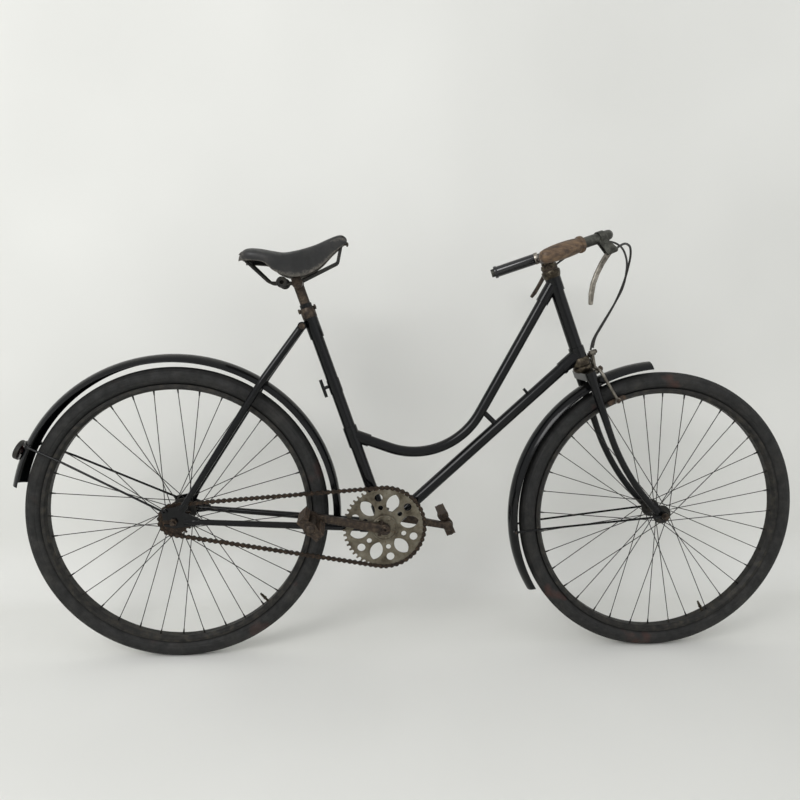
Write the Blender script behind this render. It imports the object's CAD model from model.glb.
import math

import bmesh
import bpy
from bpy.props import FloatProperty, FloatVectorProperty, IntProperty, PointerProperty, StringProperty
from mathutils import Euler, Matrix, Vector


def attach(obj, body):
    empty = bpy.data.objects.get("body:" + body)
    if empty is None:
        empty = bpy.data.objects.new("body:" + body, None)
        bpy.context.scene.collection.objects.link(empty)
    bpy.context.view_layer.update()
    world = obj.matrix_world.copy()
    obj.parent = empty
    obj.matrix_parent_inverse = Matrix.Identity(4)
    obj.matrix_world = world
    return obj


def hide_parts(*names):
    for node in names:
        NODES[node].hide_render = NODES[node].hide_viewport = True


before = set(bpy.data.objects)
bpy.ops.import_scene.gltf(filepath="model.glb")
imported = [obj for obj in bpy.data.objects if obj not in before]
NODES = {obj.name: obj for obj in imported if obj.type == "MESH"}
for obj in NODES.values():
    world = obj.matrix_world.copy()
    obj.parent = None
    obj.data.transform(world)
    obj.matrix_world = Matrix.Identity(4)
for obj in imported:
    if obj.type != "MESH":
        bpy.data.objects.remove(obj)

bl_info = {
    "name": "Loop-frame roadster bicycle",
    "version": (1, 0, 0),
    "blender": (4, 5, 0),
    "location": "View3D > Sidebar > Bicycle",
    "description": "Dresses the bicycle's frame with its tyres, chain, saddle, grips, pedals, fittings and finishes",
    "category": "Object",
}

MM = 0.001


# ---------------------------------------------------------------- places on the bicycle
def at(x, z, y=0.0):
    """A place measured in millimetres from the rear axle: forward, up and to the left."""
    return Vector((x - 256.0, y, z - 624.0)) * MM


def way_at(degrees):
    """A way in the bicycle's own plane, its angle counted from forward towards up."""
    return Vector((math.cos(math.radians(degrees)), 0.0, math.sin(math.radians(degrees))))


HEAD_ANGLE, SEAT_ANGLE = 68.5, 70.1
UP_HEAD, AHEAD = way_at(180 - HEAD_ANGLE), way_at(90 - HEAD_ANGLE)
UP_SEAT, SEAT_AHEAD = way_at(180 - SEAT_ANGLE), way_at(90 - SEAT_ANGLE)
ACROSS = Vector((0.0, 1.0, 0.0))
HANDS = ((-1, "right"), (1, "left"))
REAR_AXLE, FRONT_AXLE, SHELL = at(0, 0), at(1186, 0), at(490, -22)
FORK_RAKE = 63.0
FLOOR_Z = -0.9796
CRANK_LENGTH, CRANK_IN, CRANK_THICK, CRANK_LIFT = 174.0, 52.0, 15.0, 10.6
PEDAL_REACH, PEDAL_FIRST, PEDAL_LAST = 24.0, 75.7, 156.0
REAR_GUARD, FRONT_GUARD = (369.1, -4.6, 168.5), (367.1, 96.5, 211.5)   # edge's radius, first and last angle
GUARD_HALF, GUARD_RIVET_R, GUARD_RIVET_Y = 26.6, 371.0, 29.5
REAR_STAY_TURN, FRONT_STAY_TURN = 153.0, 186.8
REFLECTOR_R, REFLECTOR_TURN = 389.0, 156.4
SEAT_BOLT_UP, STAY_BOLT_UP = 549, 516  # up the seat tube from the bottom bracket
BRAKE_UP, BAR_UP = 398, 700            # up the steering axis
BRAKE_BLOCK = (1055.4, 286.7)
GRIP_END, BAR_CORNER, BRACKET_UP_BAR = (793, 604, 240), (953, 661, 190), 146.0


def steer(up, ahead=0.0, y=0.0):
    """A place beside the steering axis, in millimetres."""
    return FRONT_AXLE - AHEAD * FORK_RAKE * MM + UP_HEAD * up * MM + AHEAD * ahead * MM + ACROSS * y * MM


def seat(up, ahead=0.0, y=0.0):
    """A place beside the seat tube's axis, in millimetres up from the bottom bracket."""
    return SHELL + UP_SEAT * up * MM + SEAT_AHEAD * ahead * MM + ACROSS * y * MM


def round_about(centre, radius, degrees, y=0.0):
    """A place on a circle in the bicycle's own plane, in millimetres from a centre."""
    return centre + way_at(degrees) * radius * MM + ACROSS * y * MM


def crank_way(side):
    """The way a crank points: the right one back and up, the left one forward and down."""
    return way_at(-CRANK_LIFT) * side


# ---------------------------------------------------------------- sizes and colours a user may change
class StageSettings(bpy.types.PropertyGroup):
    camera_place: FloatVectorProperty(
        name="Camera place", description="Where the camera stands", subtype="TRANSLATION",
        default=(0.1424, -1.5563, -0.1521))
    camera_turn: FloatVectorProperty(
        name="Camera turn", description="Yaw, pitch down and roll of the camera", unit="ROTATION",
        default=(math.radians(-4.68), math.radians(6.98), math.radians(-0.96)))
    lens: FloatProperty(
        name="Lens", description="Focal length on a 36 mm sensor", default=29.25, unit="CAMERA")
    backdrop_behind: FloatProperty(
        name="Backdrop", description="How far behind the bicycle the backdrop stands", default=0.42, unit="LENGTH")
    key_power: FloatProperty(
        name="Key light", description="Power of the large soft light", default=46.0, unit="POWER")
    fill_power: FloatProperty(
        name="Fill light", description="Power of the fill light", default=5.0, unit="POWER")
    room: FloatProperty(
        name="Room light", description="Strength of the light from all round", default=0.86)


class TyreSizes(bpy.types.PropertyGroup):
    centre: FloatProperty(
        name="Centre", description="Radius of the wheel at the tyre's centre", default=0.3345, unit="LENGTH")
    section: FloatProperty(
        name="Section", description="Radius of the tyre's round section", default=0.021, unit="LENGTH")
    rib: FloatProperty(name="Rib", description="Height of a tread rib", default=0.0007, unit="LENGTH")
    steps: IntProperty(name="Steps", description="Steps round the wheel", default=200, min=48)


class ChainSizes(bpy.types.PropertyGroup):
    pitch: FloatProperty(
        name="Pitch", description="Distance between two pins", default=0.0127, unit="LENGTH")
    plate_round: FloatProperty(
        name="Plate round", description="Radius of a plate's ends", default=0.0052, unit="LENGTH")
    waist: FloatProperty(
        name="Waist", description="Half height of a plate's waist", default=0.0024, unit="LENGTH")
    line: FloatProperty(
        name="Chain line", description="Distance right of the middle plane", default=0.045, unit="LENGTH")
    ring_teeth: IntProperty(
        name="Ring teeth", description="Teeth on the chainring", default=48, min=20)
    cog_teeth: IntProperty(
        name="Cog teeth", description="Teeth on the rear sprocket", default=18, min=9)


class SaddleSizes(bpy.types.PropertyGroup):
    leather: FloatProperty(
        name="Leather", description="Thickness of the leather", default=0.0042, unit="LENGTH")
    rivet: FloatProperty(
        name="Rivet", description="Radius of a rivet's head", default=0.0042, unit="LENGTH")


class FinishColours(bpy.types.PropertyGroup):
    enamel: StringProperty(
        name="Enamel", description="sRGB hex of the stove enamel", default="#040506")
    rust: StringProperty(name="Rust", description="sRGB hex of the rust film", default="#2e2620")
    nickel: StringProperty(
        name="Nickel", description="sRGB hex of the dulled nickel plate", default="#757063")
    rubber: StringProperty(
        name="Rubber", description="sRGB hex of the tyre rubber", default="#141413")
    leather: StringProperty(
        name="Leather", description="sRGB hex of the saddle leather", default="#181818")
    grip: StringProperty(
        name="Grip", description="sRGB hex of the worn brown grip", default="#4a3828")
    backdrop: StringProperty(
        name="Backdrop", description="sRGB hex of the backdrop and floor", default="#e6e6e2")


# ---------------------------------------------------------------- materials
def linear(text, alpha=1.0):
    """An sRGB hex colour as the linear colour that a shader socket takes."""
    parts = [int(text[k:k + 2], 16) / 255 for k in (1, 3, 5)]
    return tuple(p / 12.92 if p <= 0.04045 else ((p + 0.055) / 1.055) ** 2.4 for p in parts) + (alpha,)


def add(tree, kind, fill=None, stops=None, **settings):
    """Adds one node, sets its options, and fills its sockets with values or with other nodes' outputs."""
    node = tree.nodes.new(kind)
    for name, value in settings.items():
        setattr(node, name, value)
    for key, value in (fill or {}).items():
        if isinstance(value, bpy.types.NodeSocket):
            tree.links.new(value, node.inputs[key])
        else:
            node.inputs[key].default_value = value
    if stops:
        points = node.color_ramp.elements
        while len(points) < len(stops):
            points.new(0.5)
        for point, (place, colour) in zip(points, stops):
            point.position = place
            point.color = linear(colour) if isinstance(colour, str) else (colour, colour, colour, 1.0)
    return node


def begin(name):
    """A new material with its shader, its coordinates and nothing else."""
    material = bpy.data.materials.new(name)
    material.use_nodes = True
    tree = material.node_tree
    shader = tree.nodes["Principled BSDF"]
    place = add(tree, "ShaderNodeTexCoord").outputs["Object"]
    return material, tree, shader, place


def paint(tree, shader, colour, **constants):
    """Colours a shader and sets its constant sockets."""
    tree.links.new(colour, shader.inputs["Base Color"])
    for name, value in constants.items():
        shader.inputs[name.replace("_", " ")].default_value = value


def noise(tree, place, scale, detail, roughness, **more):
    """A noise in the object's own space."""
    fill = {"Vector": place, "Scale": scale, "Detail": detail, "Roughness": roughness, **more}
    return add(tree, "ShaderNodeTexNoise", fill).outputs["Fac"]


def ranged(tree, value, low, high, first=0.0, last=1.0):
    """A value spread from one range to another and held at its ends."""
    fill = {"Value": value, "From Min": low, "From Max": high, "To Min": first, "To Max": last}
    return add(tree, "ShaderNodeMapRange", fill).outputs["Result"]


def ramp(tree, factor, stops):
    """A colour read from a ramp."""
    return add(tree, "ShaderNodeValToRGB", {"Fac": factor}, stops=stops).outputs["Color"]


def mixed(tree, factor, under, over):
    """A colour with another, an sRGB hex, over it by a factor."""
    return add(tree, "ShaderNodeMix", {"Factor": factor, 6: under, 7: linear(over)}, data_type="RGBA").outputs[2]


def relief(tree, shader, height, strength, distance):
    """A fine bump from a height."""
    bump = add(tree, "ShaderNodeBump", {"Height": height, "Strength": strength, "Distance": distance})
    tree.links.new(bump.outputs["Normal"], shader.inputs["Normal"])


def dull(tree, shader, place, low, high, grain_mm, bump=0.0, bump_mm=1.0):
    """Roughness that wanders between two values, with a fine bump if one is asked for."""
    wander = noise(tree, place, 600 / grain_mm, 4.0, 0.6)
    tree.links.new(ranged(tree, wander, 0.3, 0.7, low, high), shader.inputs["Roughness"])
    if bump:
        relief(tree, shader, noise(tree, place, 600 / bump_mm, 3.0, 0.6), bump, 0.001)


def make_enamel(colours):
    # Stove enamel on brazed steel tube: deep black gloss, its chips rusted and its upper faces filmed with dust.
    material, tree, shader, place = begin("stove_enamel_black")
    age = noise(tree, place, 14.0, 5.0, 0.65)
    body = ramp(tree, age, [(0.3, colours.enamel), (0.62, "#08090b"), (0.8, "#0d0e10")])
    chip = noise(tree, place, 150.0, 6.0, 0.7)
    where = add(tree, "ShaderNodeMath", {0: chip, 1: age}, operation="MULTIPLY").outputs["Value"]
    chipped = mixed(tree, ranged(tree, where, 0.43, 0.46), body, "#4a3122")
    up = add(tree, "ShaderNodeSeparateXYZ", {"Vector": add(tree, "ShaderNodeNewGeometry").outputs["Normal"]})
    dusty = mixed(tree, ranged(tree, up.outputs["Z"], 0.55, 1.0, 0.0, 0.06), chipped, "#6a655d")
    paint(tree, shader, dusty, Specular_IOR_Level=0.2, Coat_Weight=0.12, Coat_Roughness=0.06)
    dull(tree, shader, place, 0.1, 0.24, 9.0, 0.025, 1.4)
    return material


def make_nickel(colours):
    # Nickel plate gone dull: a warm grey sheen broken by rust freckles and brown stains a few centimetres across.
    material, tree, shader, place = begin("nickel_plate_dulled")
    stops = [(0.32, "#413b30"), (0.46, "#635d50"), (0.6, colours.nickel), (0.74, "#8a8476")]
    body = ramp(tree, noise(tree, place, 34.0, 7.0, 0.66), stops)
    where = ranged(tree, noise(tree, place, 260.0, 4.0, 0.6), 0.6, 0.68)
    paint(tree, shader, mixed(tree, where, body, "#5a3d28"), Metallic=0.72)
    dull(tree, shader, place, 0.34, 0.6, 6.0, 0.12, 0.9)
    return material


def make_tyre_rubber(colours, name, patch):
    # Perished tyre rubber: matt charcoal, bleached by dust in streaks round the wall, with a fine crazing of cracks.
    material, tree, shader, place = begin(name)
    stops = [(0.32, "#0c0c0b"), (0.48, colours.rubber), (0.6, "#1e1d1b"), (0.75, "#2d2b27")]
    body = ramp(tree, noise(tree, place, 22.0, 8.0, 0.7), stops)
    where = ranged(tree, noise(tree, place, 9.0, 3.0, 0.5), 0.64, 0.7, 0.0, patch)
    paint(tree, shader, mixed(tree, where, body, "#4a2a22"))
    craze = add(tree, "ShaderNodeTexVoronoi", {"Vector": place, "Scale": 420.0}, feature="DISTANCE_TO_EDGE")
    relief(tree, shader, craze.outputs["Distance"], 0.25, 0.0006)
    dull(tree, shader, place, 0.62, 0.88, 12.0)
    return material


def make_leather(colours):
    # Hard blocked saddle leather: charcoal, its grain a pebble of a millimetre, scuffed pale on ridges and edges.
    material, tree, shader, place = begin("saddle_leather_hard")
    stops = [(0.3, "#0e0e0e"), (0.48, colours.leather), (0.62, "#232221"), (0.78, "#3a3732")]
    body = ramp(tree, noise(tree, place, 26.0, 7.0, 0.66), stops)
    scuff = noise(tree, place, 140.0, 6.0, 0.75, Distortion=0.6)
    worn = add(tree, "ShaderNodeAttribute", attribute_name="wear").outputs["Fac"]
    where = add(tree, "ShaderNodeMath", {0: scuff, 1: worn}, operation="MULTIPLY").outputs["Value"]
    paint(tree, shader, mixed(tree, ranged(tree, where, 0.24, 0.52, 0.0, 0.6), body, "#8d877d"))
    grain = add(tree, "ShaderNodeTexVoronoi", {"Vector": place, "Scale": 700.0})
    relief(tree, shader, grain.outputs["Distance"], 0.28, 0.0005)
    dull(tree, shader, place, 0.38, 0.6, 10.0)
    return material


def make_brown_grip(colours):
    # Moulded composition grip gone brown: a dry sheen, worn paler on the palm side, with dark greasy streaks.
    material, tree, shader, place = begin("grip_composition_brown")
    turn = (0.0, math.radians(-21.0), 0.0)
    along = add(tree, "ShaderNodeMapping", {"Vector": place, "Rotation": turn, "Scale": (0.35, 1.0, 1.0)})
    stops = [(0.3, "#2a1d14"), (0.45, colours.grip), (0.58, "#65503a"), (0.74, "#866c50")]
    paint(tree, shader, ramp(tree, noise(tree, along.outputs["Vector"], 95.0, 7.0, 0.66), stops))
    dull(tree, shader, place, 0.38, 0.62, 7.0, 0.2, 1.0)
    return material


def make_plain(name, stops, scale, low, high, metallic=0.0, bump=0.1, bump_mm=1.0, coat=0.0, grain_mm=5.0,
               detail=6.0, fine=0.64):
    """A finish with one mottle, one wander of roughness and a fine bump."""
    material, tree, shader, place = begin(name)
    paint(tree, shader, ramp(tree, noise(tree, place, scale, detail, fine), stops), Metallic=metallic, Coat_Weight=coat)
    dull(tree, shader, place, low, high, grain_mm, bump, bump_mm)
    return material


FINISHES = {}


def make_finishes(colours):
    """Makes every material once, by its short name."""
    FINISHES.update(
        enamel=make_enamel(colours),
        nickel=make_nickel(colours),
        rear_rubber=make_tyre_rubber(colours, "tyre_rubber_dusty", 0.25),
        front_rubber=make_tyre_rubber(colours, "tyre_rubber_stained", 0.55),
        leather=make_leather(colours),
        brown_grip=make_brown_grip(colours),
        # Bare steel under a thin even film of brown rust: mottled at a few millimetres, with a low sheen.
        rust=make_plain("steel_rust_film",
                        [(0.3, "#191512"), (0.45, colours.rust), (0.58, "#43382d"), (0.72, "#625648")],
                        110.0, 0.32, 0.62, 0.55, 0.22, 0.8, grain_mm=4.0, detail=8.0, fine=0.68),
        # Plated steel wire and strip long tarnished: near black, with a faint sheen where the plate is left.
        tarnish=make_plain("steel_tarnished",
                           [(0.34, "#161615"), (0.5, "#272624"), (0.62, "#38352f"), (0.76, "#4c463d")],
                           60.0, 0.4, 0.68, 0.5, 0.12, 0.9, detail=7.0, fine=0.66),
        # Celluloid sleeve, dipped: a glassy black with hair scratches.
        black_grip=make_plain("grip_celluloid_black", [(0.3, "#050506"), (0.7, "#0b0b0d")], 40.0, 0.07, 0.2,
                              bump=0.03, coat=0.3),
        # Moulded pedal rubber worn smooth and browned by road dirt.
        pedal_rubber=make_plain("pedal_rubber_worn", [(0.3, "#1d1712"), (0.5, "#3a2c20"), (0.7, "#58452f")],
                                120.0, 0.6, 0.85, bump=0.25, bump_mm=0.9),
        # Roller chain steel under old oil and fine rust.
        chain=make_plain("chain_steel_oiled", [(0.3, "#14100d"), (0.5, "#2c231b"), (0.68, "#4c3b2c")],
                         210.0, 0.35, 0.62, 0.6, 0.15, 0.7),
        # Drawn steel strip, still bright where it is handled, with grey tarnish in its hollows.
        bright=make_plain("steel_strip_bright", [(0.3, "#4a4640"), (0.5, "#7c776e"), (0.7, "#aaa59b")],
                          70.0, 0.24, 0.44, 0.95, 0.08, 0.8),
        # The handlebar's plate gone: grey steel with a greenish bloom, matt where it is pitted.
        grey_steel=make_plain("bar_steel_corroded", [(0.32, "#282825"), (0.5, "#42423d"), (0.68, "#64645d")],
                              60.0, 0.36, 0.62, 0.75, 0.15, 0.9),
        # Waxed cotton cable housing, near black.
        housing=make_plain("cable_housing_black", [(0.3, "#111111"), (0.7, "#24221f")], 180.0, 0.5, 0.7, 0.0, 0.2, 0.6),
        # Steel race rings under old grease: a brown grey with a soft gleam.
        race=make_plain("race_ring_browned", [(0.3, "#1d1915"), (0.5, "#3b342a"), (0.7, "#6a6252")],
                        90.0, 0.3, 0.55, 0.8, 0.12, 0.8),
        # Pressed glass lens, so dark a red that it looks black.
        lens=make_plain("reflector_glass_dark", [(0.3, "#160708"), (0.7, "#2e0d0e")],
                        30.0, 0.1, 0.3, 0.0, 0.05, 1.5, 0.5),
    )


# ---------------------------------------------------------------- modelling, as by hand
def clear():
    """Leaves nothing selected."""
    bpy.ops.object.select_all(action="DESELECT")


def pick(piece):
    """Leaves one piece selected and active."""
    clear()
    piece.select_set(True)
    bpy.context.view_layer.objects.active = piece


def turn_to(direction):
    """The turn that points a primitive's own axis along a direction."""
    return Vector(direction).to_track_quat("Z", "Y").to_euler()


def bar(start, end, radius, sides=20, top=None):
    """A round bar, or a cone if its far end has another radius, from one place to another."""
    clear()
    run = end - start
    bpy.ops.mesh.primitive_cone_add(vertices=sides, radius1=radius, radius2=radius if top is None else top,
                                    depth=run.length, location=(start + end) / 2, rotation=turn_to(run))
    return bpy.context.active_object


def settle(piece, kind, **settings):
    """Adds a modifier with its settings and applies it."""
    pick(piece)
    modifier = piece.modifiers.new(kind.lower(), kind)
    for name, value in settings.items():
        setattr(modifier, name, value)
    bpy.ops.object.modifier_apply(modifier=modifier.name)
    return piece


def edge_round(piece, width, segments=2, angle=40.0):
    """Rounds a piece's sharp edges."""
    return settle(piece, "BEVEL", width=width, segments=segments, limit_method="ANGLE", angle_limit=math.radians(angle))


def edit():
    """Enters edit mode with all of the mesh selected, by its vertices."""
    bpy.ops.object.mode_set(mode="EDIT")
    bpy.ops.mesh.select_mode(type="VERT")
    bpy.ops.mesh.select_all(action="SELECT")


def face_out():
    """Selects all of the mesh in edit mode and turns its faces outward."""
    bpy.ops.mesh.select_all(action="SELECT")
    bpy.ops.mesh.normals_make_consistent(inside=False)
    bpy.ops.object.mode_set(mode="OBJECT")


def turned(profile, foot, direction, steps=32):
    """A piece turned on a lathe: its profile is radius and distance from the foot, in millimetres."""
    clear()
    axis = Vector(direction).normalized()
    side = axis.orthogonal().normalized()
    bpy.ops.mesh.primitive_plane_add(size=0.01, location=(0, 0, 0))
    piece = bpy.context.active_object
    edit()
    bpy.ops.mesh.merge(type="CENTER")
    points = [foot + side * r * MM + axis * h * MM for r, h in profile]
    bpy.ops.transform.translate(value=points[0])
    for before, after in zip(points, points[1:]):
        bpy.ops.mesh.extrude_vertices_move(TRANSFORM_OT_translate={"value": after - before})
    if (points[0] - points[-1]).length < 1e-7:
        bpy.ops.mesh.select_all(action="SELECT")
        bpy.ops.mesh.remove_doubles(threshold=1e-6)
    bpy.ops.mesh.select_all(action="SELECT")
    bpy.ops.mesh.spin(steps=steps, angle=math.tau, center=foot, axis=axis)
    bpy.ops.mesh.select_all(action="SELECT")
    bpy.ops.mesh.remove_doubles(threshold=2e-6)
    face_out()
    return piece


def plate(outline, thickness, foot, right, normal):
    """A flat plate cut to an outline in millimetres, seen along its normal, and extruded to its thickness."""
    clear()
    right, normal = Vector(right).normalized(), Vector(normal).normalized()
    up = normal.cross(right)
    bpy.ops.mesh.primitive_circle_add(vertices=len(outline), radius=0.01, fill_type="NGON", location=(0, 0, 0))
    piece = bpy.context.active_object
    for vertex, (x, y) in zip(piece.data.vertices, outline):
        vertex.co = foot + right * x * MM + up * y * MM
    edit()
    bpy.ops.mesh.extrude_region_move(TRANSFORM_OT_translate={"value": normal * thickness * MM})
    face_out()
    return piece


def wire(points, radius, smooth=True, closed=False, around=3):
    """A round wire through a route of points, made from a curve with a bevel."""
    clear()
    bpy.ops.curve.primitive_nurbs_path_add(location=(0, 0, 0))
    line = bpy.context.active_object
    line.data.splines.clear()
    spline = line.data.splines.new("NURBS" if smooth else "POLY")
    spline.points.add(len(points) - 1)
    for point, place in zip(spline.points, points):
        point.co = (*place, 1.0)
    if smooth:
        spline.order_u = 3
        spline.use_endpoint_u = not closed
    spline.use_cyclic_u = closed
    line.data.resolution_u = 8
    line.data.bevel_depth = radius
    line.data.bevel_resolution = around
    line.data.use_fill_caps = not closed
    pick(line)
    bpy.ops.object.convert(target="MESH")
    return bpy.context.active_object


def hexagon(foot, direction, across, depth):
    """A hexagon nut or bolt head with its corners chamfered, its size across flats in millimetres."""
    clear()
    way = Vector(direction).normalized()
    bpy.ops.mesh.primitive_cylinder_add(vertices=6, radius=across / math.sqrt(3) * MM, depth=depth * MM,
                                        location=foot + way * depth / 2 * MM, rotation=turn_to(way))
    return edge_round(bpy.context.active_object, 0.7 * MM, 2, 50.0)


def dome(foot, direction, radius, rise, steps=20):
    """A domed rivet or bolt head."""
    shape = ((1, 0), (0.96, 0.35), (0.75, 0.75), (0.4, 0.95), (0, 1), (0, 0), (1, 0))
    return turned([(radius * r, rise * h) for r, h in shape], foot, direction, steps)


def arc(x, radius, first, last, steps):
    """Points of an arc about (x, 0), from one angle in degrees to another."""
    turns = [math.radians(first + (last - first) * k / steps) for k in range(steps + 1)]
    return [(x + radius * math.cos(turn), radius * math.sin(turn)) for turn in turns]


def hull(circles, steps=40):
    """The outline that wraps circles, each given by its centre and radius in millimetres."""
    outline = []
    for k in range(steps):
        x, y = math.cos(math.tau * k / steps), math.sin(math.tau * k / steps)
        best = max(circles, key=lambda circle: circle[0] * x + circle[1] * y + circle[2])
        outline.append((best[0] + best[2] * x, best[1] + best[2] * y))
    return outline


def strip_outline(points, halves):
    """The outline of a bent strip along points in millimetres, with its half width at each."""
    left, right = [], []
    for k, (x, y) in enumerate(points):
        before, after = points[max(k - 1, 0)], points[min(k + 1, len(points) - 1)]
        run = Vector((after[0] - before[0], after[1] - before[1])).normalized()
        left.append((x - run.y * halves[k], y + run.x * halves[k]))
        right.append((x + run.y * halves[k], y - run.x * halves[k]))
    return left + right[::-1]


def joined(pieces):
    """Joins pieces into one."""
    clear()
    for piece in pieces:
        piece.select_set(True)
    bpy.context.view_layer.objects.active = pieces[0]
    if len(pieces) > 1:
        bpy.ops.object.join()
    return bpy.context.active_object


def finished(pieces, name, body, finish, instead_of=(), smooth=40.0):
    """Joins pieces, applies their place, smooths them, and gives them their name, body, slot and finish."""
    piece = joined(pieces if isinstance(pieces, list) else [pieces])
    bpy.ops.object.transform_apply(location=True, rotation=True, scale=True)
    bpy.ops.object.shade_smooth_by_angle(angle=math.radians(smooth))
    piece.name = name
    piece.data.name = name
    piece.data.materials.clear()
    piece.data.materials.append(FINISHES[finish])
    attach(piece, body)
    if instead_of:
        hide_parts(*instead_of)
    clear()
    return piece


# ---------------------------------------------------------------- operators
class BICYCLE_OT_stage(bpy.types.Operator):
    """Set up the pale floor and backdrop, the soft lights and the camera"""
    bl_idname = "bicycle.stage"
    bl_label = "Stage"

    def execute(self, context):
        settings = context.scene.bicycle_stage
        material, tree, shader, place = begin("backdrop_matt_paint")
        stops = [(0.3, "#dededa"), (0.7, context.scene.bicycle_colours.backdrop)]
        paint(tree, shader, ramp(tree, noise(tree, place, 1.4, 2.0, 0.5), stops), Roughness=0.9, Specular_IOR_Level=0.1)
        # The backdrop shows its front only, so that a view from behind still sees the bicycle.
        seen = add(tree, "ShaderNodeNewGeometry").outputs["Backfacing"]
        through = add(tree, "ShaderNodeBsdfTransparent").outputs["BSDF"]
        one_sided = add(tree, "ShaderNodeMixShader", {0: seen, 1: shader.outputs["BSDF"], 2: through})
        tree.links.new(one_sided.outputs["Shader"], tree.nodes["Material Output"].inputs["Surface"])
        clear()
        back = settings.backdrop_behind
        bpy.ops.mesh.primitive_plane_add(size=12.0, location=(0.4, back - 6.0, FLOOR_Z))
        floor = context.active_object
        bpy.ops.object.mode_set(mode="EDIT")
        mesh = bmesh.from_edit_mesh(floor.data)
        for edge in mesh.edges:
            edge.select = all(v.co.y > 5.9 for v in edge.verts)
        mesh.select_flush_mode()
        bmesh.update_edit_mesh(floor.data)
        bpy.ops.mesh.select_mode(type="EDGE")
        bpy.ops.mesh.extrude_edges_move(TRANSFORM_OT_translate={"value": (0, 0, 5.0)})
        bpy.ops.object.mode_set(mode="OBJECT")
        sweep = edge_round(floor, 0.16, 10, 40.0)
        bpy.ops.object.transform_apply(location=True, rotation=True, scale=True)
        bpy.ops.object.shade_smooth_by_angle(angle=math.radians(40))
        sweep.name = "backdrop"
        sweep.data.materials.append(material)
        for name, spot, size, power, target in (
                ("key_light", (-1.5, -2.5, 1.5), 1.5, settings.key_power, (0.2, 0.2, -0.3)),
                ("fill_light", (2.6, -2.6, 0.4), 2.2, settings.fill_power, (0.4, 0.0, -0.4))):
            clear()
            way = Vector(target) - Vector(spot)
            bpy.ops.object.light_add(type="AREA", location=spot, rotation=way.to_track_quat("-Z", "Y").to_euler())
            lamp = context.active_object
            lamp.name = name
            lamp.data.size = size
            lamp.data.energy = power
        world = bpy.data.worlds.new("room")
        world.use_nodes = True
        sky = world.node_tree.nodes["Background"]
        sky.inputs["Color"].default_value = linear("#f4f5f6")
        sky.inputs["Strength"].default_value = settings.room
        context.scene.world = world
        clear()
        yaw, pitch, roll = settings.camera_turn
        turn = Matrix.Identity(3)
        for angle, axis in ((yaw, "Z"), (-pitch, "X"), (roll, "Y"), (math.pi / 2, "X")):
            turn = turn @ Matrix.Rotation(angle, 3, axis)
        bpy.ops.object.camera_add(location=settings.camera_place, rotation=turn.to_euler())
        camera = context.active_object
        camera.data.lens = settings.lens
        camera.data.sensor_width = 36.0
        context.scene.camera = camera
        context.scene.view_settings.view_transform = "Standard"
        return {"FINISHED"}


NODE_FINISH = {
    "rust": ("bottom_bracket_cups", "stay_bolt", "seat_post", "saddle_clamp", "rear_axle", "front_axle", "top_nut",
             "handlebar_stem", "brake_lever_left", "crank_right", "crank_left", "crank_axle", "pedal_cage_right",
             "pedal_cage_left"),
    "nickel": ("chainring",),
    "tarnish": ("front_rim", "front_hub", "rear_rim", "rear_hub", "saddle_frame"),
    "grey_steel": ("handlebar",),
    "rear_rubber": ("rear_tyre",),
    "front_rubber": ("front_tyre",),
    "leather": ("saddle_leather",),
    "brown_grip": ("grip_right",),
    "black_grip": ("grip_left",),
    "pedal_rubber": ("pedal_rubbers_right", "pedal_rubbers_left", "front_brake_blocks"),
    "chain": ("chain", "rear_sprocket"),
    "bright": ("brake_lever_right", "front_brake"),
    "housing": ("brake_cables",),
    "race": ("head_bearings",),
    "lens": ("rear_reflector",),
}


class BICYCLE_OT_finishes(bpy.types.Operator):
    """Make the finishes and give one to every part of the frame"""
    bl_idname = "bicycle.finishes"
    bl_label = "Finishes"

    def execute(self, context):
        make_finishes(context.scene.bicycle_colours)
        finish_of = {node: finish for finish, nodes in NODE_FINISH.items() for node in nodes}
        for name, node in NODES.items():
            material = FINISHES[finish_of.get(name, "enamel")]
            if not node.data.materials:
                node.data.materials.append(material)
            for slot in node.material_slots:
                slot.material = material
        return {"FINISHED"}


class BICYCLE_OT_tyres(bpy.types.Operator):
    """Spin both tyres, with ribs on the tread and a bead line on each wall"""
    bl_idname = "bicycle.tyres"
    bl_label = "Tyres"

    def execute(self, context):
        sizes = context.scene.bicycle_tyre
        tread = 45
        for name, axle, finish in (("rear", REAR_AXLE, "rear_rubber"), ("front", FRONT_AXLE, "front_rubber")):
            profile = []
            for degrees in range(0, 361, 5):
                reach = sizes.section / MM
                lean = abs((degrees + 180) % 360 - 180)
                if lean <= tread:
                    reach -= sizes.rib / MM if (lean // 5) % 2 else 0.0
                elif lean in (70, 110):
                    reach -= 0.6
                turn = math.radians(degrees)
                profile.append((sizes.centre / MM + reach * math.cos(turn), reach * math.sin(turn)))
            tyre = turned(profile, axle, ACROSS, sizes.steps)
            finished(tyre, name + "_tyre_ribbed", name + "_wheel", finish, (name + "_tyre",), 25.0)
        return {"FINISHED"}


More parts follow.
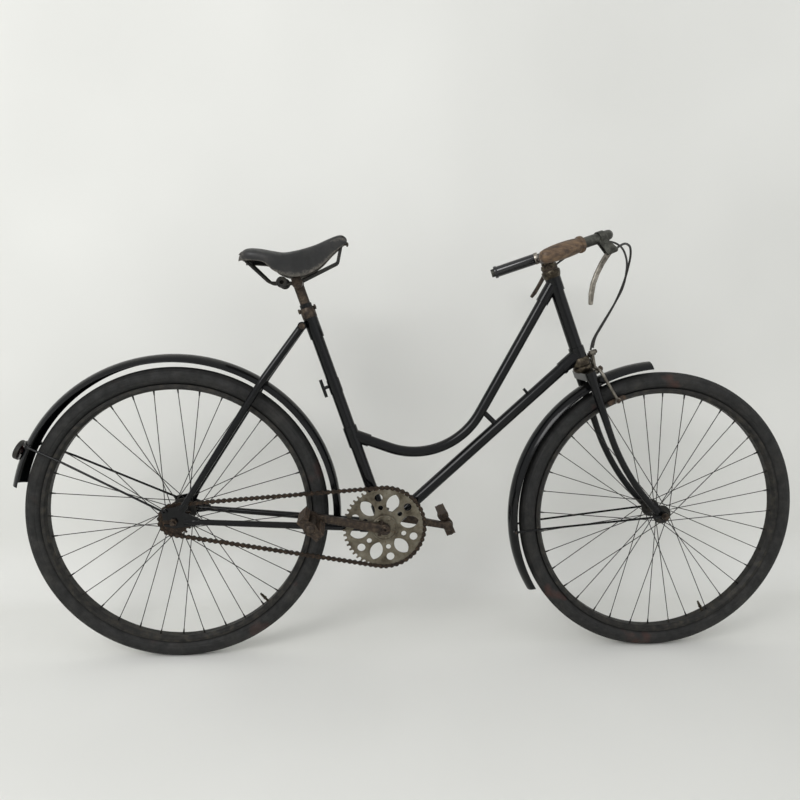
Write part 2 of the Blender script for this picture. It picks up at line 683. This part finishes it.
class BICYCLE_OT_wheel_fittings(bpy.types.Operator):
    """Add the spoke nipples and the valve to each wheel"""
    bl_idname = "bicycle.wheel_fittings"
    bl_label = "Nipples and valves"

    def execute(self, context):
        spacing, rim_r = 20.0, 303.3
        for name, axle, flange_r, valve in (("rear", REAR_AXLE, 27.0, -47.0), ("front", FRONT_AXLE, 19.0, -62.0)):
            pieces = []
            for side in (-1, 1):
                for k in range(18):
                    hub_turn = spacing * k + (spacing / 2 if side > 0 else 0)
                    lean = 1 if k % 2 else -1
                    rim_turn = hub_turn + lean * 3 * spacing
                    foot = round_about(axle, flange_r, hub_turn, side * (31 + lean * 1.7))
                    head = round_about(axle, rim_r, rim_turn, side * 4)
                    way = (foot - head).normalized()
                    pieces.append(bar(head, head + way * 11 * MM, 2.3 * MM, 10, 1.5 * MM))
            finished(pieces, name + "_nipples", name + "_wheel", "tarnish", (), 35.0)
            out = round_about(axle, 303.4, valve)
            way = (axle - out).normalized()
            stem = turned([(0, -1), (3.6, -1), (3.6, 1.5), (2.9, 2), (2.9, 9), (4.4, 9.5), (4.4, 13), (3.2, 13.6),
                           (3.2, 22), (2.5, 23), (2.5, 27), (0, 27.6), (0, -1)], out, way, 16)
            finished(stem, name + "_valve", name + "_wheel", "race", (), 35.0)
        return {"FINISHED"}


class BICYCLE_OT_chain(bpy.types.Operator):
    """Lay the roller chain round the sprocket and the chainring, one link at a time"""
    bl_idname = "bicycle.chain"
    bl_label = "Chain"

    def execute(self, context):
        sizes = context.scene.bicycle_chain
        ring = sizes.pitch / 2 / math.sin(math.pi / sizes.ring_teeth)
        cog = sizes.pitch / 2 / math.sin(math.pi / sizes.cog_teeth)
        drive = SHELL - REAR_AXLE
        slant = math.atan2(drive.z, drive.x)
        opening = math.asin((ring - cog) / drive.length)
        top, low = slant + math.pi / 2 + opening, slant - math.pi / 2 - opening
        run = math.sqrt(drive.length ** 2 - (ring - cog) ** 2)
        wrap_ring = ring * (2 * math.pi - (math.pi - 2 * opening))
        wrap_cog = cog * (math.pi - 2 * opening)
        total = 2 * run + wrap_ring + wrap_cog
        count = 2 * round(total / sizes.pitch / 2)

        legs = ((top, REAR_AXLE, cog, run, True), (top, SHELL, ring, wrap_ring, False),
                (low, SHELL, ring, run, True), (low, REAR_AXLE, cog, wrap_cog, False))

        def along(distance):
            """A place on the chain's line."""
            distance %= total
            for turn, centre, radius, length, straight in legs:
                if distance <= length:
                    out = Vector((math.cos(turn), 0, math.sin(turn)))
                    if straight:
                        return centre + out * radius + Vector((out.z, 0, -out.x)) * distance
                    angle = turn - distance / radius
                    return centre + Vector((math.cos(angle), 0, math.sin(angle))) * radius
                distance -= length

        pins = [along(k * total / count) for k in range(count)]
        half = sizes.pitch / 2 / MM
        outline = []
        for sign in (1, -1):
            for degrees in (-110, -70, -35, 0, 35, 70, 110):
                turn = math.radians(degrees) + (0 if sign > 0 else math.pi)
                reach = sizes.plate_round / MM
                outline.append((sign * half + reach * math.cos(turn), reach * math.sin(turn)))
            outline.append((0.0, sign * sizes.waist / MM))
        pieces = []
        models = {}
        # Each kind: how far its plates stand from the middle, and its rollers' or pins' half length, radius and sides.
        for kind, near, half_length, radius, sides in (("inner", 1.6, 1.6, 3.9, 12), ("outer", 2.75, 4.1, 1.9, 8)):
            parts = [plate(outline, 1.0, ACROSS * foot * MM, (1, 0, 0), (0, 1, 0)) for foot in (-near - 1.0, near)]
            for end in (-half, half):
                place, reach = Vector((end * MM, 0, 0)), ACROSS * half_length * MM
                parts.append(bar(place - reach, place + reach, radius * MM, sides))
            models[kind] = joined(parts)
            bpy.ops.object.transform_apply(location=True, rotation=True, scale=True)
        for k in range(count):
            first, second = pins[k], pins[(k + 1) % count]
            way = second - first
            model = models["inner" if k % 2 else "outer"]
            link = model.copy()
            link.data = model.data.copy()
            context.collection.objects.link(link)
            link.location = (first + second) / 2 - ACROSS * sizes.line
            link.rotation_euler = Euler((0, -math.atan2(way.z, way.x), 0))
            pieces.append(link)
        for model in models.values():
            bpy.data.objects.remove(model)
        finished(pieces, "roller_chain", "frame", "chain", ("chain",))
        return {"FINISHED"}


SADDLE_STATIONS = (
    # x, crown z, half width, drop from crown to side, in millimetres from where the rider sits
    (-103, -15, 54, 12), (-96, -3, 66, 15), (-84, 4.5, 75, 18), (-58, 5, 81, 21), (-30, 1, 81, 22), (-4, -1.5, 70, 21),
    (20, 3, 57, 19), (45, 10.5, 43, 17), (70, 20, 31.5, 16), (97, 33, 25, 15), (122, 42.5, 20.5, 14),
    (134, 40, 16.5, 14), (140.5, 32, 11, 10))
SKIRT_EDGE = (
    # x, z of the skirt's edge
    (-103, -27), (-62, -27), (-42, -31), (-25, -46), (4, -57), (28, -58), (56, -49), (84, -29), (106, -5), (136, 22),
    (141, 24))
SADDLE_REAR, SADDLE_LENGTH = -103.0, 243.5
SHOULDER = 0.6                         # share of the way from crown to skirt at which the side turns down


def eased(table, x, column):
    """A column of a table of stations, read smoothly between two of them."""
    for k in range(len(table) - 1):
        if x <= table[k + 1][0] or k == len(table) - 2:
            a, b = table[k], table[k + 1]
            before, after = table[max(k - 1, 0)], table[min(k + 2, len(table) - 1)]
            span = b[0] - a[0]
            t = min(max((x - a[0]) / span, 0.0), 1.0)
            rise_a = (b[column] - before[column]) / (b[0] - before[0]) * span
            rise_b = (after[column] - a[column]) / (after[0] - a[0]) * span
            return ((2 * t ** 3 - 3 * t ** 2 + 1) * a[column] + (t ** 3 - 2 * t ** 2 + t) * rise_a
                    + (3 * t ** 2 - 2 * t ** 3) * b[column] + (t ** 3 - t ** 2) * rise_b)


def hide_place(x, share, side):
    """A place on the saddle's skin: share runs from the crown, 0, over the side to the skirt's edge, 1."""
    crown, half, drop = (eased(SADDLE_STATIONS, x, column) for column in (1, 2, 3))
    low = crown - drop
    edge = min(eased(SKIRT_EDGE, x, 1), low - 1)
    if share <= SHOULDER:
        turn = share / SHOULDER * math.pi / 2
        y, z = half * math.sin(turn) ** 0.8, low + drop * max(math.cos(turn), 0.0) ** 0.8
    else:
        down = (share - SHOULDER) / (1 - SHOULDER)
        y, z = half - 2.5 * down * down, low + (edge - low) * down
    return Vector((x, side * y, z)) * MM


class BICYCLE_OT_saddle_leather(bpy.types.Operator):
    """Block the saddle's leather over its frame, and mark where it is worn"""
    bl_idname = "bicycle.saddle_leather"
    bl_label = "Saddle leather"

    def execute(self, context):
        clear()
        bpy.ops.mesh.primitive_grid_add(x_subdivisions=48, y_subdivisions=32, size=1.0, location=(0, 0, 0))
        leather = context.active_object
        wear = leather.data.attributes.new("wear", "FLOAT", "POINT")
        for vertex in leather.data.vertices:
            x = SADDLE_REAR + (vertex.co.x + 0.5) * SADDLE_LENGTH
            share = abs(vertex.co.y) * 2
            vertex.co = hide_place(x, share, 1 if vertex.co.y >= 0 else -1)
            edge = max(0.0, (share - 0.8) / 0.2) * 0.8
            rear = max(0.0, min(1.0, (-58 - x) / 40)) * 0.55
            nose = max(0.0, min(1.0, (x - 60) / 60)) * max(0.0, 1 - abs(share - 0.5) / 0.3) * 0.6
            wear.data[vertex.index].value = min(1.0, max(edge, rear, nose) + 0.1)
        settle(leather, "SOLIDIFY", thickness=context.scene.bicycle_saddle.leather, offset=-1.0)
        settle(leather, "SUBSURF", levels=1, render_levels=1)
        edit()
        face_out()
        finished(leather, "saddle_leather_blocked", "frame", "leather", ("saddle_leather",), 60.0)
        return {"FINISHED"}


class BICYCLE_OT_saddle_fittings(bpy.types.Operator):
    """Rivet the leather at cantle and nose, and wind the springs' coils"""
    bl_idname = "bicycle.saddle_fittings"
    bl_label = "Saddle fittings"

    def execute(self, context):
        rivet = context.scene.bicycle_saddle.rivet / MM
        lean = Vector((-0.6, 0, 0.8))
        rivets = [dome(hide_place(-97, share, side) - lean * 0.4 * MM, lean, rivet, 1.6)
                  for share, side in ((0.0, 1), (0.22, -1), (0.22, 1), (0.42, -1), (0.42, 1))]
        rivets += [dome(hide_place(130, 0.3, side), (0.5, side * 0.3, 0.8), rivet * 0.8, 1.3) for side in (-1, 1)]
        rivets.append(hexagon(Vector((138, 0, 21.6)) * MM, (1, 0, 0), 9.5, 4.0))
        rivets.append(bar(Vector((116, 0, 21.6)) * MM, Vector((143, 0, 21.6)) * MM, 2.6 * MM, 14))
        finished(rivets, "saddle_rivets", "frame", "race")
        coils = []
        for side in (-1, 1):
            circle = arc(-8, 11, 0, 3 * 360, 54)
            route = [Vector((x, side * (28 + 14 * k / 54), y - 70)) * MM for k, (x, y) in enumerate(circle)]
            coils.append(wire(route, 2.1 * MM, around=2))
        finished(coils, "saddle_coils", "frame", "tarnish", (), 50.0)
        return {"FINISHED"}


def bar_run(side):
    """The handlebar's open end on one side, and the way its straight run leads from there."""
    end, corner = (at(x, z, side * y) for x, z, y in (GRIP_END, BAR_CORNER))
    return end, (corner - end).normalized()


class BICYCLE_OT_grips(bpy.types.Operator):
    """Turn the worn brown grip, and the black sleeve with its nickel ferrule"""
    bl_idname = "bicycle.grips"
    bl_label = "Grips"

    def execute(self, context):
        end, run = bar_run(-1)
        barrel = [(0, -5), (6, -5), (10, -3.6), (13, 0), (15, 8), (16.8, 24), (17.6, 44), (17.4, 62), (16.4, 78),
                  (15.3, 86), (15, 89), (16.6, 90), (17.6, 91), (17.8, 93.5), (17.4, 96), (16, 97), (0, 97)]
        finished(turned(barrel, end, run, 56), "grip_barrel_brown", "steering", "brown_grip",
                 ("grip_right",))
        end, run = bar_run(1)
        sleeve = [(0, 8), (12, 8), (16.2, 8.6), (16.8, 10), (16.8, 15), (16, 16.5), (14.8, 17.5), (14.8, 60), (15, 118),
                  (14.8, 121), (0, 121)]
        finished(turned(sleeve, end, run, 56), "grip_sleeve_black", "steering", "black_grip",
                 ("grip_left",))
        ferrule = [(0, 121), (15.4, 121), (15.8, 122), (15.8, 129), (15, 131), (0, 131)]
        finished(turned(ferrule, end, run, 56), "grip_ferrule", "steering", "bright")
        return {"FINISHED"}


LEVER_PIVOT = (943, 622)               # mm ahead of the rear axle and above it
LEVER_Y = 202
LEVERS = (
    # hand, side, the blade's places from its pivot, its finish and slot, its bracket's finish
    ("right", -1, ((3, 0), (-5, -11), (-13, -25), (-22, -45), (-29, -66), (-32, -88), (-32.3, -111)),
     "bright", "bright_steel", "grey_steel"),
    ("left", 1, ((3, 0), (-5, -12), (-14, -25), (-22, -41), (-30, -56), (-38, -70), (-47, -82)),
     "rust", "rusted_steel", "rust"))


class BICYCLE_OT_levers(bpy.types.Operator):
    """Bend the brake levers' blades and build the riveted brackets that hold them to the bar"""
    bl_idname = "bicycle.levers"
    bl_label = "Brake levers"

    def execute(self, context):
        for hand, side, places, finish, slot, bracket_finish in LEVERS:
            outline = strip_outline(places, (5.5, 5.8, 5.4, 5.2, 5.2, 5.4, 4.0))
            pivot = at(*LEVER_PIVOT, side * LEVER_Y)
            blade = plate(outline, 9.0, pivot + ACROSS * 4.5 * MM, (1, 0, 0), (0, -1, 0))
            edge_round(blade, 2.6 * MM, 4, 30.0)
            finished(blade, "lever_blade_" + hand, "steering", finish, ("brake_lever_" + hand,), 50.0)
            end, run = bar_run(side)
            band = end + run * BRACKET_UP_BAR * MM
            clamp = [(11.1, -7.5), (13.2, -7.5), (13.8, -6.8), (13.8, 6.8), (13.2, 7.5), (11.1, 7.5), (11.1, -7.5)]
            pieces = [turned(clamp, band, run, 44)]
            reach = (band - pivot) / MM
            cheek = hull([(0, 0, 6.2), (13, 4.6, 5.0), (reach.x, reach.z - 4, 8.5)])
            for offset in (8.4, -6.4):
                side_plate = plate(cheek, 2.0, pivot + ACROSS * offset * MM, (1, 0, 0), (0, -1, 0))
                pieces.append(edge_round(side_plate, 0.5 * MM, 2))
            for x, z, size in ((0, 0, 3.8), (12, 4.3, 3.0), (reach.x * 0.6, reach.z * 0.6 + 1, 2.8)):
                spot = pivot + Vector((x, 0, z)) * MM
                pieces.append(bar(spot - ACROSS * 8.4 * MM, spot + ACROSS * 8.4 * MM, (size - 0.8) * MM, 14))
                pieces += [dome(spot + ACROSS * way * 8.3 * MM, (0, way, 0), size, 1.5, 16) for way in (-1, 1)]
            barrel = Vector((14.0, 0.0, 5.0))
            screw = [(0, -16), (4.2, -16), (4.2, -3), (5.0, -2.4), (5.0, 1), (4.2, 2), (3.3, 3.4), (0, 3.4), (0, -16)]
            pieces.append(turned(screw, pivot + barrel * MM, barrel, 22))
            finished(pieces, "lever_bracket_" + hand, "steering", bracket_finish)
        return {"FINISHED"}


class BICYCLE_OT_head_fittings(bpy.types.Operator):
    """Turn the race rings and the locknut of the head, and fit the brake's bolts and clamps"""
    bl_idname = "bicycle.head_fittings"
    bl_label = "Head and brake fittings"

    def execute(self, context):
        cup = [(18.7, 443), (20.2, 441), (22.4, 434), (23.8, 429), (23.8, 424.4), (22.6, 422.6), (18.7, 422.6),
               (18.7, 443)]
        top = [(18.7, 648), (19.7, 650), (21.4, 655), (22.2, 658.5), (22.2, 665), (21.2, 666.6), (18.7, 666.8),
               (18.7, 648)]
        cups = [turned(shape, steer(0), UP_HEAD, 48) for shape in (cup, top)]
        finished(cups, "race_cups", "frame", "race", (), 35.0)
        cone = [(16.9, 408.5), (19.5, 408.5), (22, 411), (23.4, 414.5), (23.4, 418.5), (22.2, 420.4), (19.1, 420.7),
                (19.1, 413.8), (16.9, 413.8), (16.9, 408.5)]
        lock = [(13, 672.5), (19.1, 672.5), (20.3, 673.3), (20.3, 676.2), (19.1, 677), (19.1, 680.4), (17.6, 681.6),
                (13, 681.6), (13, 672.5)]
        rings = [turned(shape, steer(0), UP_HEAD, 48) for shape in (cone, lock)]
        rings.append(hexagon(steer(681), UP_HEAD, 29.0, 7.0))
        finished(rings, "race_cone_and_locknut", "steering", "race", (), 35.0)
        bolts = [hexagon(steer(BRAKE_UP, 39), AHEAD, 13.0, 6.0), dome(steer(BRAKE_UP, 45), AHEAD, 4.4, 3.0),
                 hexagon(steer(BRAKE_UP, 20), AHEAD * -1, 13.0, 4.0)]
        for up, y in ((444, -6), (438, 8)):
            bolts += [hexagon(steer(up, 40, y), AHEAD, 9.0, 4.0), dome(steer(up, 44, y), AHEAD, 2.6, 1.4),
                      dome(steer(up, 26, y), AHEAD * -1, 5.4, 2.0)]
        for side in (-1, 1):
            block = at(*BRAKE_BLOCK, side * 36)
            bolts += [hexagon(block, (0, side, 0), 9.5, 4.4),
                      dome(block + ACROSS * side * 4.4 * MM, (0, side, 0), 3.0, 2.2)]
        finished(bolts, "brake_bolts", "steering", "rust")
        near, far = steer(BAR_UP, -16, -9), steer(BAR_UP, -16, 9)
        screw = [hexagon(near, (0, -1, 0), 10.0, 4.0), hexagon(far, (0, 1, 0), 10.0, 4.6),
                 bar(near - ACROSS * 3 * MM, far + ACROSS * 8 * MM, 3.0 * MM, 14)]
        finished(screw, "bar_clamp_screw", "steering", "rust")
        return {"FINISHED"}


class BICYCLE_OT_cranks(bpy.types.Operator):
    """Forge both cottered cranks, with their pins and nuts, and rivet the chainring"""
    bl_idname = "bicycle.cranks"
    bl_label = "Cranks"

    def execute(self, context):
        for side, hand in HANDS:
            way, out = crank_way(side), ACROSS * side
            outline = arc(0, 13.5, 52, 308, 26) + arc(CRANK_LENGTH, 12, -138, 138, 24)
            arm = edge_round(plate(outline, CRANK_THICK, SHELL + out * CRANK_IN * MM, way, out), 2.4 * MM, 3, 35.0)
            face = SHELL + out * (CRANK_IN + CRANK_THICK) * MM
            spindle = [(0, 0), (8, 0), (8, 0.8), (6.8, 1.9), (2.6, 1.9), (2.0, 1.0), (0, 1.0), (0, 0)]
            boss = [(8.4, -0.4), (12.4, -0.4), (12.2, 0.8), (11.2, 1.3), (9.4, 1.3), (8.4, 0.6), (8.4, -0.4)]
            eye = [(0, 0), (8.4, 0), (8.4, 1.2), (7.2, 2.2), (0, 2.2), (0, 0)]
            pin_way = Vector((way.z, 0.0, -way.x))
            pin = SHELL + out * (CRANK_IN + CRANK_THICK / 2) * MM + way * 10 * MM
            cotter = [(0, -19), (3.8, -19), (4.6, -17.5), (4.2, 10.8), (3.2, 11), (3.2, 18.4), (2.6, 19), (0, 19),
                      (0, -19)]
            washer = [(3.3, 10.9), (6.2, 10.9), (6.2, 12.1), (3.3, 12.1), (3.3, 10.9)]
            pieces = [arm, turned(spindle, face, out, 28), turned(boss, face, out, 36),
                      turned(eye, face + way * CRANK_LENGTH * MM, out, 24), turned(cotter, pin, pin_way, 20),
                      hexagon(pin + pin_way * 12.2 * MM, pin_way, 9.6, 4.6), turned(washer, pin, pin_way, 22)]
            finished(pieces, "crank_forged_" + hand, "crankset", "rust", ("crank_" + hand,))
        rivets = [dome(round_about(SHELL, 24.0, 205.4 + 72 * k, -CRANK_IN), (0, -1, 0), 4.4, 1.8, 18) for k in range(5)]
        rim = [(27.6, -0.2), (30.8, -0.2), (30.8, 0.6), (29.8, 1.3), (28.4, 1.3), (27.6, 0.6), (27.6, -0.2)]
        rivets.append(turned(rim, SHELL - ACROSS * CRANK_IN * MM, (0, -1, 0), 72))
        finished(rivets, "chainring_rivets", "crankset", "nickel")
        return {"FINISHED"}


def grooved_block(half_reach, half_height):
    """The outline of a rubber block with shallow grooves in its four faces, in millimetres."""
    corners = [(half_reach * x, half_height * y) for x, y in ((1, 1), (-1, 1), (-1, -1), (1, -1))]
    outline = []
    for start, end in zip(corners, corners[1:] + corners[:1]):
        run = Vector(end) - Vector(start)
        inward = Vector((-run.y, run.x)).normalized()
        count = 5 if run.length > 20 else 3
        for k in range(count):
            rib, last = ((0.12, 0.0), (0.7, 0.0), (0.82, 1.2), (1.0, 1.2)), ((0.12, 0.0), (0.88, 0.0))
            for share, sink in rib if k < count - 1 else last:
                outline.append(tuple(Vector(start) + run * (k + share) / count + inward * sink))
    return outline


class BICYCLE_OT_pedals(bpy.types.Operator):
    """Mould the pedals' grooved rubbers and fit their dust caps and nuts"""
    bl_idname = "bicycle.pedals"
    bl_label = "Pedals"

    def execute(self, context):
        for (side, hand), hang_degrees in zip(HANDS, (135.0, 113.0)):
            out, hang = ACROSS * side, way_at(hang_degrees)
            eye = SHELL + crank_way(side) * CRANK_LENGTH * MM
            rubbers, irons = [], []
            for reach in (-PEDAL_REACH, PEDAL_REACH):
                foot = eye + out * PEDAL_FIRST * MM + hang * reach * MM
                rubbers.append(plate(grooved_block(7.0, 12.0), 77.6, foot, hang, out))
                stud = eye + out * PEDAL_LAST * MM + hang * reach * MM
                irons += [hexagon(stud, out, 7.6, 2.8), dome(stud + out * 2.8 * MM, out, 2.3, 1.4, 14)]
            finished(rubbers, "pedal_rubbers_grooved_" + hand, "pedal_" + hand, "pedal_rubber",
                     ("pedal_rubbers_" + hand,), 35.0)
            cap = [(0, -1.2), (10.6, -1.2), (10.6, 1.2), (9.6, 2.6), (5.6, 3.8), (0, 4.2), (0, -1.2)]
            irons.append(turned(cap, eye + out * PEDAL_LAST * MM, out, 36))
            finished(irons, "pedal_cap_and_nuts_" + hand, "pedal_" + hand, "rust")
        return {"FINISHED"}


def guard_rivets(axle, degrees):
    """The two rivets that hold a stay to a mudguard."""
    return [dome(round_about(axle, GUARD_RIVET_R, degrees, side * GUARD_RIVET_Y), (0, side, 0), 4.4, 2.0, 16)
            for side in (-1, 1)]


class BICYCLE_OT_frame_fittings(bpy.types.Operator):
    """Add the seat collar and its bolt, the mudguards' beads, wrap and rivets, and the reflector's bezel"""
    bl_idname = "bicycle.frame_fittings"
    bl_label = "Frame fittings"

    def execute(self, context):
        collar = [(12.6, 528), (17.1, 528), (17.5, 529), (17.5, 551.4), (16.6, 552.8), (12.6, 552.8), (12.6, 528)]
        binder = [bar(seat(SEAT_BOLT_UP, -22), seat(SEAT_BOLT_UP, 22), 3.0 * MM, 14),
                  turned(collar, SHELL, UP_SEAT, 44)]
        for side in (-1, 1):
            binder += [hexagon(seat(SEAT_BOLT_UP, side * 17), SEAT_AHEAD * side, 10.5, 4.6),
                       dome(seat(STAY_BOLT_UP, -24, side * 9), (0, side, 0), 5.6, 3.0)]
        finished(binder, "seat_collar_and_bolt", "frame", "rust")
        for name, body, axle, (edge, first, last) in (("rear", "frame", REAR_AXLE, REAR_GUARD),
                                                      ("front", "steering", FRONT_AXLE, FRONT_GUARD)):
            turns = [first + (last - first) * k / 60 for k in range(61)]
            beads = [wire([round_about(axle, edge, turn, side * GUARD_HALF) for turn in turns], 1.4 * MM, around=2)
                     for side in (-1, 1)]
            finished(beads, name + "_guard_beads", body, "enamel", (), 60.0)
        out = way_at(REAR_STAY_TURN)
        route = [REAR_AXLE + (out * x + ACROSS * y) * MM for x, y in arc(356, 32.6, -65, 65, 14)]
        wraps = [wire(route, 2.4 * MM)]
        wraps += guard_rivets(REAR_AXLE, REAR_STAY_TURN)
        finished(wraps, "rear_guard_wrap", "frame", "enamel", (), 50.0)
        finished(guard_rivets(FRONT_AXLE, FRONT_STAY_TURN), "front_guard_rivets", "steering", "rust")
        out = way_at(REFLECTOR_TURN)
        bezel = [(22.1, -0.6), (23.4, 0), (23.4, 8.4), (22.6, 10.0), (20.6, 10.6), (20.0, 10.2), (22.1, 8.0),
                 (22.1, -0.6)]
        ring = turned(bezel, REAR_AXLE + out * REFLECTOR_R * MM, out, 48)
        finished(ring, "reflector_bezel", "frame", "tarnish", (), 35.0)
        return {"FINISHED"}


OPERATORS = (
    BICYCLE_OT_stage, BICYCLE_OT_finishes, BICYCLE_OT_tyres, BICYCLE_OT_wheel_fittings, BICYCLE_OT_chain,
    BICYCLE_OT_saddle_leather, BICYCLE_OT_saddle_fittings, BICYCLE_OT_grips, BICYCLE_OT_levers,
    BICYCLE_OT_head_fittings, BICYCLE_OT_cranks, BICYCLE_OT_pedals, BICYCLE_OT_frame_fittings)
SETTINGS = (("bicycle_stage", StageSettings), ("bicycle_tyre", TyreSizes), ("bicycle_chain", ChainSizes),
            ("bicycle_saddle", SaddleSizes), ("bicycle_colours", FinishColours))


class BICYCLE_PT_panel(bpy.types.Panel):
    """Lists the bicycle's pieces and the settings that shape them"""
    bl_idname = "BICYCLE_PT_panel"
    bl_label = "Bicycle"
    bl_space_type = "VIEW_3D"
    bl_region_type = "UI"
    bl_category = "Bicycle"

    def draw(self, context):
        for operator in OPERATORS:
            self.layout.operator(operator.bl_idname)
        for name, group in SETTINGS:
            box = self.layout.box()
            for key in group.__annotations__:
                box.prop(getattr(context.scene, name), key)


def register():
    for name, group in SETTINGS:
        bpy.utils.register_class(group)
        setattr(bpy.types.Scene, name, PointerProperty(type=group))
    for entry in (*OPERATORS, BICYCLE_PT_panel):
        bpy.utils.register_class(entry)


def unregister():
    for entry in (BICYCLE_PT_panel, *reversed(OPERATORS)):
        bpy.utils.unregister_class(entry)
    for name, group in reversed(SETTINGS):
        delattr(bpy.types.Scene, name)
        bpy.utils.unregister_class(group)


def main():
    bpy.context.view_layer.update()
    register()
    for operator in OPERATORS:
        group, call = operator.bl_idname.split(".")
        getattr(getattr(bpy.ops, group), call)()


if __name__ == "__main__":
    main()
